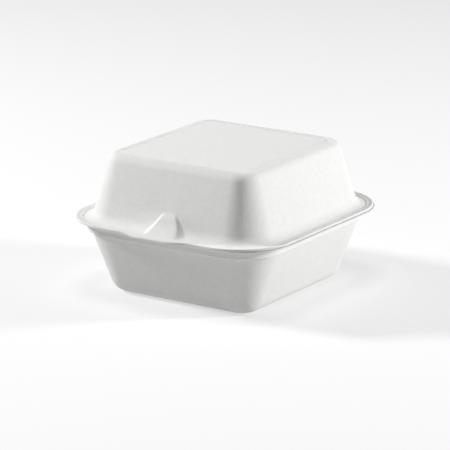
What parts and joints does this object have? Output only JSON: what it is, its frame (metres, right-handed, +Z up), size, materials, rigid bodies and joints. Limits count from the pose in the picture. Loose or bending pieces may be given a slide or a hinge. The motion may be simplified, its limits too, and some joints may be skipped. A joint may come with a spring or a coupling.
{
  "type": "bagasse burger box",
  "caption": "Square hinged takeaway box of moulded plant fibre, with a tapered tray, a domed lid, flat rims and a lock boss with a thumb tab at the front.",
  "frame": {"origin": "middle of the closed box's width and depth, thumb tab included, on the surface that it stands on", "axes": "+Z up, -Y towards the lock and thumb tab at the front, +Y towards the fold at the back"},
  "size_m": [0.152, 0.1624, 0.0895],
  "materials": {
    "pulp": "matt pressed plant fibre"
  },
  "bodies": {
    "tray_body": {"tray": "pulp"},
    "lid_body": {"lid": "pulp"}
  },
  "joints": [
    {"name": "lid_fold", "type": "hinge", "parent": "tray_body", "child": "lid_body", "pos_m": [0, 0.0814, 0.0472], "axis": [-1, 0, 0], "range_deg": [0, 180]}
  ]
}
